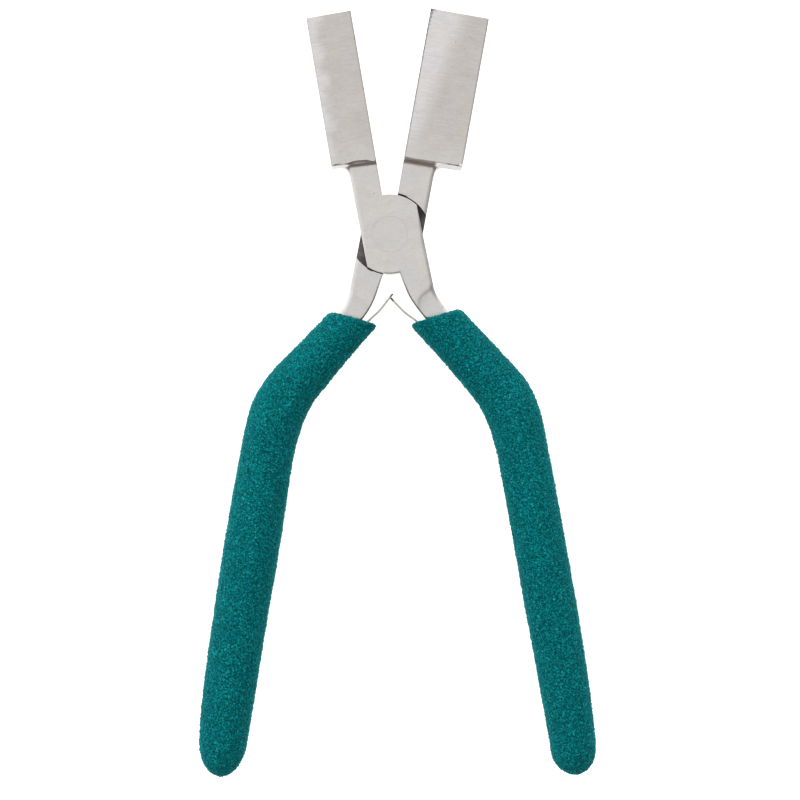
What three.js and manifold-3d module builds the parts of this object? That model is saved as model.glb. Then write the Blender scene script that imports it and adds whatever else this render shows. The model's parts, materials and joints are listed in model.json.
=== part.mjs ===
// Square-mandrel forming pliers: two lap-jointed steel halves with a 10 mm and a 13 mm square
// forming jaw, a flush rivet, a pair of hooked leaf springs and two foam sleeve grips.
//
// Millimetres and degrees, +Z up, +Y towards the jaw tips. The pliers lie flat and stand open as
// their springs hold them. Each half is drawn in a frame of its own: the pivot is the origin, the
// pliers are closed, and +X is the side that the half's jaw is on, so that its handle is on -X.
import * as THREE from 'three';
import { mergeVertices } from 'three/addons/utils/BufferGeometryUtils.js';
import Module from 'manifold-3d';

const wasm = await Module();
wasm.setup();

// ---- Sizes that both halves share ----
const SHANK_THICKNESS = 7;
const JAW_LENGTH = 33.3;
const JAW_FACE_OFFSET = 0.2; // from the centreline to each jaw's inner face, closed
const LAP_RADIUS = 8.8;
const RECESS_RADIUS = 9.05;
const LAP_GAP = 0.12; // between the two laps, along the rivet
const NECK_FILLET = 2.8;
const TANG_WIDTH = 4.85;
const TANG_END_WIDTH = 4;
const TANG_THICKNESS = 5.4;
const TANG_END_THICKNESS = 4.2;
const TANG_STOP = 8; // from the steel's end to the foam's end
const HANDLE_BEND = 7.6; // straight length that the bend takes up on each side of its corner
const THICK_END_Y = -12.5; // the shank thins from here to the tang
const THIN_START_Y = -18.5;

// ---- Rivet ----
const RIVET_HEAD_RADIUS = 3.95;
const RIVET_SHANK_RADIUS = 2.5;
const RIVET_HEAD_DEPTH = 1.3;
const RIVET_DOME = 0.12;
const RIVET_GAP = 0.12;

// ---- Foam grips ----
const GRIP_CAP = 7.5; // length of the rounded end
const MOUTH_SPARE = 7; // drawn before the mouth, for its slanting cut to trim
const GRIP_GAP = 0.3; // between the foam and the steel
const GRIP_SIDES = 20;

// ---- Leaf springs and their screws ----
const LEAF_THICKNESS = 0.4;
const LEAF_WIDTH = 4;
const LEAF_SEAT_GAP = 0.1; // between the leaf's root and the tang
const LEAF_ROOT = 13; // distances along the handle from its mouth
const LEAF_LIFT = 5;
const SCREW_AT = 9;
const TONGUE_WIDTH = 1.6;
const TONGUE_LENGTH = 2.4;
const FORK_SLOT = 2.2;
const FORK_LENGTH = 2.2;
const SCREW_HEAD_RADIUS = 1.5;
const SCREW_HEAD_HEIGHT = 0.9;
const SCREW_SHANK_RADIUS = 0.9;
const SCREW_DEPTH = 3;
const SCREW_GAP = 0.12;
const SCREW_SLOT_WIDTH = 0.45;
const SCREW_SLOT_DEPTH = 0.4;
const POCKET_GAP = 0.5; // between the foam and the leaf or its screw

// ---- What is different on each half, in its own frame ----
// crotch, elbows and shoulder are the corners of the shank between the joint and the grip.
const LARGE = {
  mirror: 1, // its jaw is right of the centreline
  lean: -10.2, // from closed to open
  upper: false, // its lap lies under the other
  block: 13,
  blockStart: 17.25,
  stepFillet: 1.4,
  neck: [7.3, 7.2], // outer edge at the block and at the lap's far end
  backEdge: 6.25, // outer edge on the handle's side, at the lap's upper end
  shoulder: [-6.5, -13.9],
  outerElbow: [-6.5, -16.3],
  crotch: [0.1, -8.8],
  innerElbow: [-1.1, -17],
  tangStart: [-5.2, -19.2],
  mouth: [-5, -19.9],
  gripRadii: [[0, 5.25], [6, 5.4], [20, 5.95], [27, 6.3], [60, 6.3], [98, 5.75]], // by distance from the mouth
  mouthTilt: 5.5, // of the foam's cut, inner corner lower
  bend: [-18.4, -41.4],
  end: [-16.6, -125.7],
  leafExit: [-1.3, -19.85],
  leafKnee: [0.8, -17.15],
  leafTip: [3, -12.85],
  tongue: true,
};
const SMALL = {
  mirror: -1,
  lean: 9.7,
  upper: true,
  block: 10,
  blockStart: 16.85,
  stepFillet: 1.1,
  neck: [6.5, 6.1],
  backEdge: 7,
  shoulder: [-7.65, -13.35],
  outerElbow: [-7.75, -15.2],
  crotch: [-0.75, -8.77],
  innerElbow: [-2.2, -15.7],
  tangStart: [-7.3, -19.35],
  mouth: [-7.15, -19.85],
  gripRadii: [[0, 5.6], [6, 5.6], [20, 5.95], [27, 6.2], [60, 5.9], [98, 5.45]],
  mouthTilt: 8,
  bend: [-21.15, -42.3],
  end: [-21.3, -125.75],
  leafExit: [-2.7, -20.05],
  leafKnee: [-0.3, -17.65],
  leafTip: [2.15, -13.95],
  tongue: false,
};

// ---- Solids ----
const FAR = 200; // longer than the pliers, for cutting blocks
const SAME = 1e-3; // points nearer than this are one point
const { degToRad } = THREE.MathUtils;
const vector = ([x, y]) => new THREE.Vector2(x, y);

function solid(geometry) {
  const plain = geometry.clone();
  plain.deleteAttribute('normal');
  plain.deleteAttribute('uv');
  const merged = mergeVertices(plain, 1e-4);
  return new wasm.Manifold(new wasm.Mesh({
    numProp: 3,
    vertProperties: new Float32Array(merged.attributes.position.array),
    triVerts: new Uint32Array(merged.index.array),
  }));
}

function geometryOf(body) {
  const mesh = body.getMesh();
  const geometry = new THREE.BufferGeometry();
  geometry.setAttribute('position', new THREE.BufferAttribute(mesh.vertProperties, 3));
  geometry.setIndex(new THREE.BufferAttribute(mesh.triVerts, 1));
  return geometry;
}

function extruded(points, low, high) {
  const corners = points.filter((point, i) => point.distanceTo(points.at(i - 1)) > SAME);
  const shape = new THREE.Shape(corners);
  const geometry = new THREE.ExtrudeGeometry(shape, { depth: high - low, bevelEnabled: false });
  return geometry.translate(0, 0, low);
}

const prism = (points, low, high) => solid(extruded(points, low, high));

// A profile of (y, z) points, drawn out across the pliers.
function crossPrism(points) {
  const toSide = new THREE.Matrix4().makeBasis(
    new THREE.Vector3(0, 1, 0),
    new THREE.Vector3(0, 0, 1),
    new THREE.Vector3(1, 0, 0),
  );
  return solid(extruded(points, -FAR, FAR).applyMatrix4(toSide));
}

// A turned solid about Z, from its (radius, z) profile.
function turned(points, sides = 48) {
  return solid(new THREE.LatheGeometry(points.map(vector), sides).rotateX(Math.PI / 2));
}

function cylinder(radius, low, high, sides = 48) {
  return turned([[0, low], [radius, low], [radius, high], [0, high]], sides);
}

// ---- The line that a handle follows ----
function handlePath(start, half) {
  const corner = vector(half.bend);
  const end = vector(half.end);
  const into = corner.clone().add(vector(start).sub(corner).setLength(HANDLE_BEND));
  const out = corner.clone().add(end.clone().sub(corner).setLength(HANDLE_BEND));
  const path = new THREE.Path().moveTo(...start).lineTo(into.x, into.y);
  return path.quadraticCurveTo(corner.x, corner.y, out.x, out.y).lineTo(end.x, end.y);
}

// The point that lies `along` the path and `off` to its +X side; it runs straight beyond the ends.
function beside(path, along, off) {
  const length = path.getLength();
  const inside = THREE.MathUtils.clamp(along, 0, length);
  const tangent = path.getTangentAt(inside / length);
  const point = path.getPointAt(inside / length).addScaledVector(tangent, along - inside);
  return point.add(new THREE.Vector2(-tangent.y, tangent.x).multiplyScalar(off));
}

const tangLength = (half) => handlePath(half.tangStart, half).getLength() - TANG_STOP;

// Distances at which a handle's edge has points: few on the straights, more round the bend.
function stations(length) {
  const bend = [14, 17, 19, 21, 23, 25, 27, 29, 31, 34];
  return [0, ...bend, length * 0.65, length];
}

// One side of the tang, from the mouth to its end, set out by `extra`.
function tangEdge(half, side, extra = 0) {
  const path = handlePath(half.tangStart, half);
  const length = tangLength(half);
  return stations(length).map((along) => {
    const width = THREE.MathUtils.lerp(TANG_WIDTH, TANG_END_WIDTH, along / length);
    return beside(path, along, side * (width / 2 + extra));
  });
}

// ---- Steel halves ----
function circleAt(radius, x, sign) {
  return Math.atan2(sign * Math.sqrt(radius * radius - x * x), x);
}

function halfOutline(half) {
  const [neckTop, neckLow] = half.neck;
  const crotch = vector(half.crotch).setLength(LAP_RADIUS);
  const elbow = vector(half.innerElbow);
  const lead = crotch.clone().lerp(elbow, 0.6);
  const outer = tangEdge(half, -1);
  const inner = tangEdge(half, 1).reverse();
  const blockFoot = half.blockStart + 1;
  const outline = new THREE.Shape();
  outline.moveTo(JAW_FACE_OFFSET, blockFoot);
  outline.lineTo(JAW_FACE_OFFSET, LAP_RADIUS);
  outline.absarc(
    0, 0, LAP_RADIUS,
    circleAt(LAP_RADIUS, JAW_FACE_OFFSET, 1), circleAt(LAP_RADIUS, -half.backEdge, 1), false,
  );
  outline.lineTo(...half.shoulder);
  outline.quadraticCurveTo(...half.outerElbow, outer[0].x, outer[0].y);
  outer.forEach((point) => outline.lineTo(point.x, point.y));
  inner.forEach((point) => outline.lineTo(point.x, point.y));
  outline.quadraticCurveTo(elbow.x, elbow.y, lead.x, lead.y);
  outline.lineTo(crotch.x, crotch.y);
  outline.absarc(0, 0, LAP_RADIUS, crotch.angle() - 2 * Math.PI, circleAt(LAP_RADIUS, neckLow, -1));
  const filletTop = neckTop + NECK_FILLET;
  outline.lineTo(neckTop, half.blockStart - NECK_FILLET);
  outline.quadraticCurveTo(neckTop, half.blockStart, filletTop, half.blockStart);
  outline.lineTo(filletTop, blockFoot);
  return outline.getPoints(10);
}

// Height of the steel along the handle: thin in the foam, thick at the joint, filleted to the jaw.
function sideProfile(half) {
  const thick = SHANK_THICKNESS / 2;
  const thin = TANG_THICKNESS / 2;
  const top = new THREE.Path();
  top.moveTo(half.end[1], TANG_END_THICKNESS / 2);
  top.lineTo(THIN_START_Y, thin);
  const ramp = (THICK_END_Y + THIN_START_Y) / 2;
  top.bezierCurveTo(ramp, thin, ramp, thick, THICK_END_Y, thick);
  top.lineTo(half.blockStart - half.stepFillet, thick);
  top.quadraticCurveTo(half.blockStart, thick, half.blockStart, thick + half.stepFillet);
  top.lineTo(half.blockStart + 2, thick + half.stepFillet);
  const upper = top.getPoints(6);
  const lower = upper.map((point) => new THREE.Vector2(point.x, -point.y)).reverse();
  return [...upper, ...lower];
}

function rivetProfile(grow) {
  const face = SHANK_THICKNESS / 2;
  const head = RIVET_HEAD_RADIUS + grow;
  const shank = RIVET_SHANK_RADIUS + grow;
  const neck = face - RIVET_HEAD_DEPTH;
  return [[head, -face], [shank, -neck], [shank, neck], [head, face]];
}

function rivetHole() {
  const face = SHANK_THICKNESS / 2;
  const head = RIVET_HEAD_RADIUS + RIVET_GAP;
  const above = face + 1;
  return turned([
    [0, -above], [head, -above], ...rivetProfile(RIVET_GAP), [head, above], [0, above],
  ]);
}

function screwPlace(half) {
  const path = handlePath(half.tangStart, half);
  const face = beside(path, SCREW_AT, TANG_WIDTH / 2);
  const outward = beside(path, SCREW_AT, TANG_WIDTH / 2 + 1).sub(face);
  const axis = new THREE.Vector3(outward.x, outward.y, 0);
  const turn = new THREE.Quaternion().setFromUnitVectors(new THREE.Vector3(0, 0, 1), axis);
  const place = new THREE.Vector3(face.x, face.y, 0);
  return new THREE.Matrix4().compose(place, turn, new THREE.Vector3(1, 1, 1));
}

// A cylinder along a screw's axis, measured outwards from the tang's face.
function alongScrew(half, radius, low, high) {
  const round = new THREE.CylinderGeometry(radius, radius, high - low, 16).rotateX(Math.PI / 2);
  return solid(round.translate(0, 0, (low + high) / 2).applyMatrix4(screwPlace(half)));
}

function jawBlock(half) {
  const box = new THREE.BoxGeometry(half.block, JAW_LENGTH, half.block);
  return solid(box.translate(
    JAW_FACE_OFFSET + half.block / 2, half.blockStart + JAW_LENGTH / 2, 0,
  ));
}

function steelHalf(half) {
  const reach = SHANK_THICKNESS;
  const lapFace = (half.upper ? 1 : -1) * LAP_GAP / 2;
  const recess = half.upper
    ? cylinder(RECESS_RADIUS, -reach, lapFace)
    : cylinder(RECESS_RADIUS, lapFace, reach);
  return prism(halfOutline(half), -reach, reach)
    .intersect(crossPrism(sideProfile(half)))
    .add(jawBlock(half))
    .subtract(recess)
    .subtract(rivetHole())
    .subtract(alongScrew(half, SCREW_SHANK_RADIUS + SCREW_GAP, -SCREW_DEPTH - SCREW_GAP, 1));
}

function rivet() {
  const top = SHANK_THICKNESS / 2 + RIVET_DOME;
  return turned([[0, -top], ...rivetProfile(0), [0, top]]);
}

// ---- Leaf springs ----
function leafLine(half) {
  const path = handlePath(half.tangStart, half);
  const off = TANG_WIDTH / 2 + LEAF_SEAT_GAP + LEAF_THICKNESS / 2;
  return [
    beside(path, LEAF_ROOT, off),
    beside(path, SCREW_AT, off),
    beside(path, LEAF_LIFT, off),
    vector(half.leafExit),
    vector(half.leafKnee),
    vector(half.leafTip),
  ];
}

// The outline of a bent strip that is `width` wide, with mitred corners.
function stripOutline(line, width) {
  const edge = (sign) => line.map((point, i) => {
    const before = line[Math.max(i - 1, 0)];
    const after = line[Math.min(i + 1, line.length - 1)];
    const run = after.clone().sub(before).normalize();
    return point.clone().add(new THREE.Vector2(-run.y, run.x).multiplyScalar(sign * width / 2));
  });
  return [...edge(1), ...edge(-1).reverse()];
}

// The last stretch of the leaf, as a strip wide enough to cut it right through.
function leafTipCutter(half, length) {
  const [knee, tip] = leafLine(half).slice(-2);
  const run = tip.clone().sub(knee).normalize();
  const start = tip.clone().addScaledVector(run, -length);
  return stripOutline([start, tip.clone().addScaledVector(run, 1)], 4 * LEAF_THICKNESS);
}

function leafSpring(half) {
  const strip = prism(stripOutline(leafLine(half), LEAF_THICKNESS), -LEAF_WIDTH / 2, LEAF_WIDTH / 2);
  const drilled = strip.subtract(alongScrew(half, SCREW_SHANK_RADIUS + SCREW_GAP, -1, 2));
  if (!half.tongue) {
    return drilled.subtract(
      prism(leafTipCutter(half, FORK_LENGTH), -FORK_SLOT / 2, FORK_SLOT / 2),
    );
  }
  const cutter = leafTipCutter(half, TONGUE_LENGTH);
  return drilled
    .subtract(prism(cutter, TONGUE_WIDTH / 2, LEAF_WIDTH))
    .subtract(prism(cutter, -LEAF_WIDTH, -TONGUE_WIDTH / 2));
}

function springScrew(half) {
  const seat = 2 * LEAF_SEAT_GAP + LEAF_THICKNESS;
  const top = seat + SCREW_HEAD_HEIGHT;
  const slot = new THREE.BoxGeometry(SCREW_SLOT_WIDTH, 4, SCREW_SLOT_DEPTH * 2);
  return alongScrew(half, SCREW_SHANK_RADIUS, -SCREW_DEPTH, seat + 0.2)
    .add(alongScrew(half, SCREW_HEAD_RADIUS, seat, top))
    .subtract(solid(slot.translate(0, 0, top).applyMatrix4(screwPlace(half))));
}

// ---- Foam grips ----
// The grip's radius at a distance from the mouth, and the distances at which it is drawn.
function gripProfile(half, length) {
  const capStart = length - GRIP_CAP;
  const spare = [-MOUTH_SPARE, half.gripRadii[0][1]];
  const rows = [spare, ...half.gripRadii].map(([along, radius]) => [radius, along]);
  const [endRadius] = rows.at(-1);
  const cap = [0, 0.4, 0.65, 0.85, 0.97].map((share) => (
    [endRadius * Math.sqrt(1 - share * share), capStart + GRIP_CAP * share]
  ));
  return [[0, rows[0][1]], ...rows.slice(0, -1), ...cap, [0, length]];
}

// Extra rows between the profile's own, so that the body can follow the bend.
function refined(rows, step) {
  return rows.flatMap(([radius, along], i) => {
    if (i === rows.length - 1) return [[radius, along]];
    const [nextRadius, nextAlong] = rows[i + 1];
    const parts = Math.max(1, Math.ceil((nextAlong - along) / step));
    return Array.from({ length: parts }, (_, k) => [
      THREE.MathUtils.lerp(radius, nextRadius, k / parts),
      THREE.MathUtils.lerp(along, nextAlong, k / parts),
    ]);
  });
}

// Lays a turned body, whose axis is Y, along the handle.
function laidAlong(geometry, path) {
  const place = geometry.attributes.position;
  for (let i = 0; i < place.count; i += 1) {
    const point = beside(path, place.getY(i), -place.getX(i));
    place.setXY(i, point.x, point.y);
  }
  return geometry;
}

function gripBody(half) {
  const path = handlePath(half.mouth, half);
  const rows = refined(gripProfile(half, path.getLength()), 6);
  const turnedBody = new THREE.LatheGeometry(rows.map(vector), GRIP_SIDES);
  return solid(laidAlong(turnedBody, path));
}

// Everything on the jaws' side of the grip's mouth.
function aboveMouth(half) {
  const [x, y] = half.mouth;
  const slab = new THREE.BoxGeometry(FAR, FAR / 2, FAR);
  slab.translate(0, FAR / 4, 0).rotateZ(degToRad(-half.mouthTilt)).translate(x, y, 0);
  return solid(slab);
}

function gripBore(half) {
  const outer = tangEdge(half, -1, GRIP_GAP);
  const inner = tangEdge(half, 1, GRIP_GAP);
  const open = (edge) => edge[0].clone().sub(edge[1]).setLength(4).add(edge[0]);
  const tip = inner.at(-1).clone().sub(inner.at(-2)).setLength(GRIP_GAP);
  const outline = [
    open(outer), ...outer, outer.at(-1).clone().add(tip),
    inner.at(-1).clone().add(tip), ...inner.reverse(), open(tangEdge(half, 1, GRIP_GAP)),
  ];
  const high = TANG_THICKNESS / 2 + GRIP_GAP;
  return prism(outline, -high, high);
}

// Room in the foam for the leaf spring's root and its screw, from the tang's middle outwards.
function gripPocket(half) {
  const path = handlePath(half.tangStart, half);
  const line = leafLine(half).slice(0, -1);
  line[0].add(line[0].clone().sub(line[1]).setLength(POCKET_GAP));
  const farSide = stripOutline(line, LEAF_THICKNESS + 2 * POCKET_GAP).slice(line.length);
  const outline = [...farSide, beside(path, LEAF_ROOT + POCKET_GAP, 0), beside(path, -2, 0)];
  const high = LEAF_WIDTH / 2 + POCKET_GAP;
  const head = SCREW_HEAD_HEIGHT + 2 * LEAF_SEAT_GAP + LEAF_THICKNESS + POCKET_GAP;
  return prism(outline, -high, high)
    .add(alongScrew(half, SCREW_HEAD_RADIUS + POCKET_GAP, 0, head));
}

function foamGrip(half) {
  return gripBody(half)
    .subtract(aboveMouth(half))
    .subtract(gripBore(half))
    .subtract(gripPocket(half));
}

// ---- Assembly ----
const STEEL = new THREE.MeshStandardMaterial({ color: 0xcfcdca, roughness: 0.38, metalness: 1 });
const SPRING_STEEL = new THREE.MeshStandardMaterial({ color: 0xa8a59c, roughness: 0.35, metalness: 1 });
const FOAM = new THREE.MeshStandardMaterial({ color: 0x0d7372, roughness: 0.95, metalness: 0 });

// From a half's own frame to the left-handed or right-handed side that its jaw is on.
function mirrored(geometry) {
  geometry.scale(-1, 1, 1);
  const corners = geometry.index;
  for (let i = 0; i < corners.count; i += 3) {
    const first = corners.getX(i);
    corners.setX(i, corners.getX(i + 1));
    corners.setX(i + 1, first);
  }
  return geometry;
}

function piece(name, body, material, mirror = 1) {
  const geometry = geometryOf(body);
  if (mirror < 0) mirrored(geometry);
  geometry.computeVertexNormals();
  const mesh = new THREE.Mesh(geometry, material);
  mesh.name = name;
  return mesh;
}

function halfGroup(half, names) {
  const group = new THREE.Group();
  group.add(
    piece(names.steel, steelHalf(half), STEEL, half.mirror),
    piece(names.grip, foamGrip(half), FOAM, half.mirror),
    piece(names.leaf, leafSpring(half), SPRING_STEEL, half.mirror),
    piece(names.screw, springScrew(half), SPRING_STEEL, half.mirror),
  );
  group.rotation.z = degToRad(half.lean);
  return group;
}

const pliers = new THREE.Group();
pliers.add(
  halfGroup(LARGE, {
    steel: 'large_jaw_half', grip: 'left_grip', leaf: 'tongue_leaf_spring', screw: 'left_spring_screw',
  }),
  halfGroup(SMALL, {
    steel: 'small_jaw_half', grip: 'right_grip', leaf: 'fork_leaf_spring', screw: 'right_spring_screw',
  }),
  piece('pivot_rivet', rivet(), STEEL),
);

// The origin is the middle of the footprint, on the surface that the pliers lie on.
pliers.updateMatrixWorld(true);
const extent = new THREE.Box3().setFromObject(pliers, true);
const middle = extent.getCenter(new THREE.Vector3());
pliers.position.set(-middle.x, -middle.y, -extent.min.z);

export default pliers;
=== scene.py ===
"""Square-mandrel forming pliers: the finished surfaces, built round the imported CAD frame.

Sizes are millimetres unless a name says otherwise, and MM turns them into Blender's metres. Each
half of the pliers is drawn in a frame of its own, as in the CAD: the pivot is the origin, the pliers
are closed, and +X is the side that the half's jaw is on, so that its handle is on -X. to_row() takes
points from there to the row frame. Z is measured from the pliers' middle plane.
"""

import json
import math

import bpy
import numpy as np
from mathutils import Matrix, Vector, geometry, noise

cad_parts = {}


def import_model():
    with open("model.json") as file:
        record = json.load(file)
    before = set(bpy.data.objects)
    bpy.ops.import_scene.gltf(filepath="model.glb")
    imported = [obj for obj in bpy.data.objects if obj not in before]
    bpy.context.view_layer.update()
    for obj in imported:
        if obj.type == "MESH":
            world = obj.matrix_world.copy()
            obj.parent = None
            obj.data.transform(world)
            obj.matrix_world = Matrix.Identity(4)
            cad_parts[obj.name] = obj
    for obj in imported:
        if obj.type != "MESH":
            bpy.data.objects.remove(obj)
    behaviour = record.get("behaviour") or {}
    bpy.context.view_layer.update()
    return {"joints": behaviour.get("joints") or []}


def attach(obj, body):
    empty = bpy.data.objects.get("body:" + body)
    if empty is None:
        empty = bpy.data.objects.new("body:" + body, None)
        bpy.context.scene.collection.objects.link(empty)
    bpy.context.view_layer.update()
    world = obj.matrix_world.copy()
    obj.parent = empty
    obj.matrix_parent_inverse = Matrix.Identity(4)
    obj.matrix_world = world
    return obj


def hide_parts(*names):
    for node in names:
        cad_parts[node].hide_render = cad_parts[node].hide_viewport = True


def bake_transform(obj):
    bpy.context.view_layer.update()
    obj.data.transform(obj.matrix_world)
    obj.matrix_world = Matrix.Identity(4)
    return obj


MM = 0.001
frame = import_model()
JOINTS = {joint["name"]: joint for joint in frame["joints"]}
PIVOT = np.array(JOINTS["rivet_hinge"]["pos_m"])

# ---- Sizes, most of them repeated from the CAD ----
THICK = 3.5  # half of the steel's thickness at the joint, above and below the middle plane
JAW_LENGTH = 33.3
JAW_FACE_OFFSET = 0.2
LAP_RADIUS = 8.8
RECESS_RADIUS = 9.05
LAP_FACE = 0.06
NECK_FILLET = 2.8
TANG_WIDTH = 4.85
TANG_END_WIDTH = 4
TANG_THIN = 2.7  # half thicknesses of the tang, at the joint's end and at its own
TANG_END_THIN = 2.1
TANG_STOP = 8
HANDLE_BEND = 7.6
THIN_START_Y = -18.5
RIVET_HEAD_RADIUS = 3.95
RIVET_SHANK_RADIUS = 2.5
RIVET_HEAD_DEPTH = 1.3
GRIP_CAP = 7.5
LEAF_THICKNESS = 0.4
LEAF_WIDTH = 4
LEAF_SEAT_GAP = 0.1
LEAF_ROOT = 13
LEAF_LIFT = 5
LEAF_SHADED_END = 0.95  # length of the end painted darker as shade
LEAF_EDGE = 0.07
SCREW_AT = 9
TONGUE_WIDTH = 1.6
TONGUE_LENGTH = 2.4
FORK_SLOT = 2.2
FORK_LENGTH = 2.2
SCREW_HEAD_RADIUS = 1.5
SCREW_HEAD_HEIGHT = 0.9
SCREW_SHANK_RADIUS = 0.9
SCREW_DEPTH = 3
HEAD_HOLE = RIVET_HEAD_RADIUS + 0.02
SHANK_HOLE = RIVET_SHANK_RADIUS + 0.05
HOLE_SIDES = 72
SCREW_SIDES = 32


LARGE = {
    "steel": "large_jaw_half",  # the CAD nodes, then the bodies
    "grip": "left_grip",
    "leaf": "tongue_leaf_spring",
    "screw": "left_spring_screw",
    "body": "large_half",
    "leaf_body": "tongue_leaf",
    "mirror": 1,
    "lean": -10.2,
    "upper": False,
    "block": 13,
    "block_start": 17.25,
    "step_fillet": 1.4,
    "neck": (7.3, 7.2),
    "back_edge": 6.25,
    "shoulder": (-6.5, -13.9),
    "outer_elbow": (-6.5, -16.3),
    "crotch": (0.1, -8.8),
    "inner_elbow": (-1.1, -17),
    "tang_start": (-5.2, -19.2),
    "mouth": (-5, -19.9),
    "mouth_tilt": 5.5,
    "bend": (-18.4, -41.4),
    "end": (-16.6, -125.7),
    "leaf_exit": (-1.3, -19.85),
    "leaf_knee": (0.8, -17.15),
    "leaf_tip": (3, -12.85),
    "tongue": True,
    # What follows is only in the finished surface. The foam's rows are distance from its mouth, radius
    # and sideways shift. Where the tang's face drops there is a crease, painted with shade along it,
    # and along its outer edge a band of painted highlight that fades between two distances. Painted
    # shade lies along the recess's wall, in the gap, between two angles. The spots are small pits and
    # nicks, with their radius and how dark they are. The block's foot is worn up or down at places
    # across it, and lies lower by its drop at its inner and outer side; along the foot the steel is
    # painted dark as shade, and the block's inner and outer edges are painted darker. The block's
    # painted light turns to painted shade between two distances from its inner face.
    "foam": [
        (0, 5.08, 0.25), (4, 5.1, 0.28), (8, 5.2, 0.3), (12, 5.4, 0.35), (18, 5.72, 0.38),
        (22, 5.97, 0.32), (26, 6.2, 0.25), (30, 6.16, 0.25), (36, 5.97, -0.08), (40, 6.0, -0.18),
        (50, 6.2, -0.22), (60, 6.24, -0.25), (70, 6.13, -0.3), (80, 6.03, -0.3), (90, 5.9, -0.15),
        (95, 5.77, -0.09), (100, 5.5, 0.14), (104, 5.25, 0.3), (110, 5.1, 0.5),
    ],
    "cap_power": 1.9,
    "crease": [(-6.6, -12.8), (-5.4, -14.4), (-3.4, -15.9), (-1.7, -17.2), (-1, -18.4)],
    "crease_length": 3,
    "crease_shade": 0.05,
    "highlight_band": (0.3, 0.9),
    "wall_gap_shade": [(72, 96), (-116, -102)],
    "spots": [
        (6, 44.5, 0.16, 0.4), (6.9, 44.2, 0.2, 0.45), (9.8, 45.8, 0.18, 0.4), (9.1, 43, 0.16, 0.4),
        (10.6, 41.6, 0.14, 0.3), (10.9, 37.2, 0.2, 0.35), (0.45, 50.2, 0.42, 0.8),
        (0.7, 49.7, 0.3, 0.5), (0.46, 49.3, 0.4, 0.7), (0.5, 48.6, 0.36, 0.6),
        (0.44, 47.8, 0.36, 0.65), (0.46, 46.9, 0.3, 0.5), (0.4, 45.9, 0.32, 0.55),
        (0.38, 44.7, 0.28, 0.45),
    ],
    "foot_wear": [(0, 0), (2.6, 0.12), (6, 0), (13, -0.15)],
    "foot_drop": (0.38, 0.3),
    "foot_shade": (0.5, 0.8),
    "chipped_corner": 1.5,
    "inner_edge": (0.34, 0.15),
    "block_edge_dark": (1.0, 0.5),
    "ragged": True,
    "painted_light_to_shade": (5.5, 10),
    "painted_light_slant": 0.2,
}
SMALL = {
    "steel": "small_jaw_half",
    "grip": "right_grip",
    "leaf": "fork_leaf_spring",
    "screw": "right_spring_screw",
    "body": "small_half",
    "leaf_body": "fork_leaf",
    "mirror": -1,
    "lean": 9.7,
    "upper": True,
    "block": 10,
    "block_start": 16.85,
    "step_fillet": 1.1,
    "neck": (6.5, 6.1),
    "back_edge": 7,
    "shoulder": (-7.65, -13.35),
    "outer_elbow": (-7.75, -15.2),
    "crotch": (-0.75, -8.77),
    "inner_elbow": (-2.2, -15.7),
    "tang_start": (-7.3, -19.35),
    "mouth": (-7.15, -19.85),
    "mouth_tilt": 8,
    "bend": (-21.15, -42.3),
    "end": (-21.3, -125.75),
    "leaf_exit": (-2.7, -20.05),
    "leaf_knee": (-0.3, -17.65),
    "leaf_tip": (2.15, -13.95),
    "tongue": False,
    "foam": [
        (0, 5.5, 0.1), (4, 5.5, 0.08), (8, 5.53, -0.02), (14, 5.65, -0.04), (20, 5.85, 0),
        (24, 6.1, 0), (26, 6.13, 0.07), (30, 5.98, 0.26), (33, 5.87, 0.24), (36, 5.78, 0.09),
        (45, 5.8, -0.07), (60, 5.79, -0.2), (70, 5.84, -0.22), (80, 5.71, -0.27),
        (90, 5.56, -0.18), (95, 5.42, -0.14), (100, 5.22, 0.02), (104, 5.2, 0.24),
        (106, 5.3, 0.32), (110, 5.3, 0.14),
    ],
    "cap_power": 2.2,
    "crease": [
        (-7.7, -12.5), (-6.55, -13.53), (-4.58, -14.54), (-3.73, -15.52), (-3.35, -17.71), (-3, -19),
    ],
    "crease_length": 1.8,
    "crease_shade": 0.3,
    "highlight_band": (0.6, 1.15),
    "wall_gap_shade": [],
    "spots": [(0.3, 43.9, 0.3, 1), (1.89, 9.47, 0.13, 0.8)],
    "foot_wear": [(0, 0), (0.6, 0.4), (1.3, 0.2), (2.1, -0.13), (4.6, -0.22), (6.9, 0.16), (8.5, 0)],
    "foot_drop": (0.53, 0.1),
    "foot_shade": (0.8, 0),
    "chipped_corner": 0.3,
    "inner_edge": (0.14, 0.14),
    "block_edge_dark": (0.45, 0.15),
    "ragged": False,
    "painted_light_to_shade": (9, 6.3),
    "painted_light_slant": -0.04,
}

# ---- Finish of the steel: the radii of its rounded edges, then where it is dark ----
BLOCK_EDGE = 0.16
INNER_EDGE = 0.2
LAP_EDGE = 0.14
OUTER_EDGE = 0.9
TANG_OUTER_EDGE = 1.1
TANG_INNER_EDGE = 0.55
EDGE_STEPS = 4
EDGE_TURN = math.radians(38)  # how far the rounding turns before it meets the side
CHAMFER = math.radians(15)  # turned at once where a wide rounding begins
STAIN_AND_SHADE_REACH = 0.34  # how far in from an edge its stain and painted shade are seen
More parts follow.
